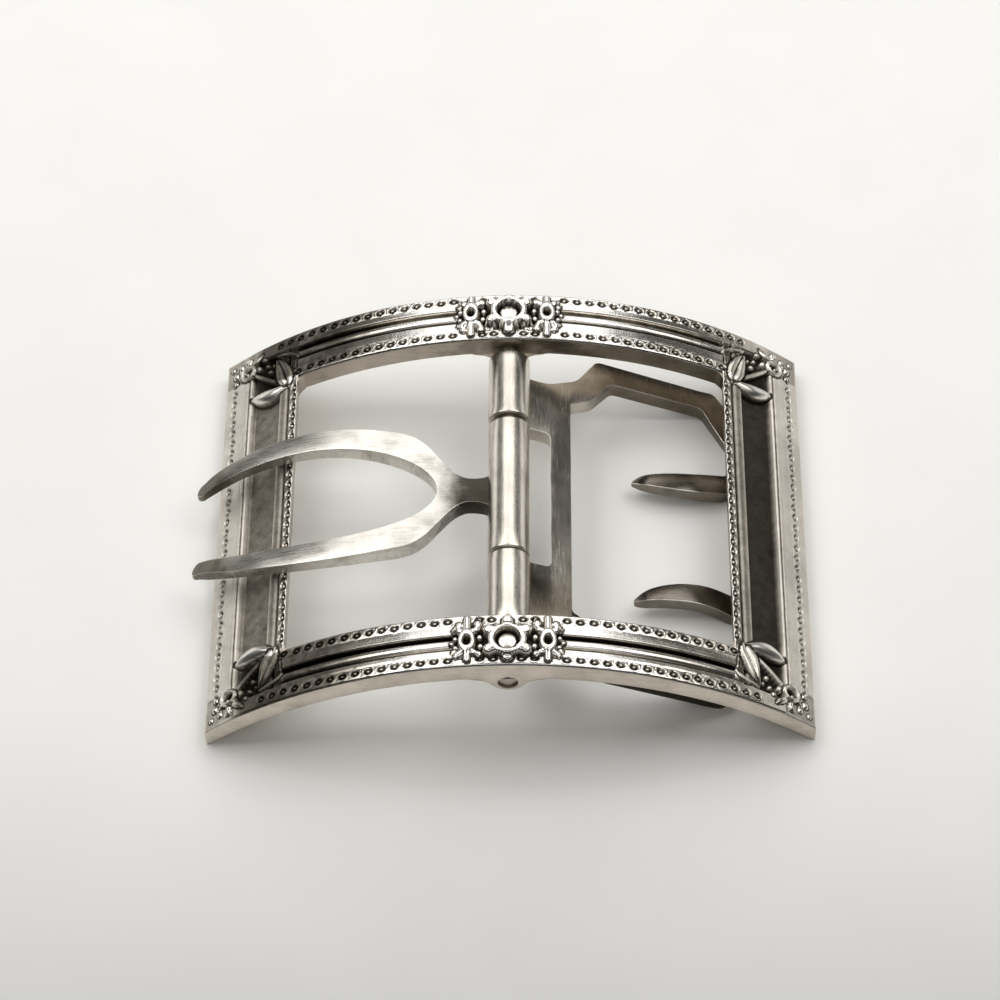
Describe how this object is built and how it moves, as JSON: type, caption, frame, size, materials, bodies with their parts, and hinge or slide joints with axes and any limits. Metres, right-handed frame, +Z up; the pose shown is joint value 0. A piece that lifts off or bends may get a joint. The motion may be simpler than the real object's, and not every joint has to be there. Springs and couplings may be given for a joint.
{
  "type": "belt buckle",
  "caption": "Arched ornamental dress buckle with a spindle, a swinging forked tongue and a swinging toothed chape that grips the strap.",
  "frame": {"origin": "middle of the spindle, on its axis, halfway between the two long bars", "axes": "+X over the arch, from the tongue's points towards the chape's loop; +Y along the spindle; +Z up, out of the ornamented face"},
  "size_m": [0.0777, 0.057, 0.0187],
  "materials": {
    "antiqued_silver": "cast, bright on the raised parts and dark in the sunk ones",
    "polished_pin": "drawn wire, cut and lightly domed",
    "brushed_tongue": "satin brushed with a bright edge",
    "brushed_chape": "satin brushed, greyer and rougher than the tongue"
  },
  "bodies": {
    "frame": {"frame": "antiqued_silver", "spindle": "polished_pin"},
    "tongue": {"tongue": "brushed_tongue"},
    "chape": {"chape": "brushed_chape"}
  },
  "joints": [
    {"name": "tongue_hinge", "type": "hinge", "parent": "frame", "child": "tongue", "pos_m": [0, 0, 0], "axis": [0, 1, 0], "range_deg": [0, 185]},
    {"name": "chape_hinge", "type": "hinge", "parent": "frame", "child": "chape", "pos_m": [0, 0, 0], "axis": [0, 1, 0], "range_deg": [-3, 118]}
  ]
}
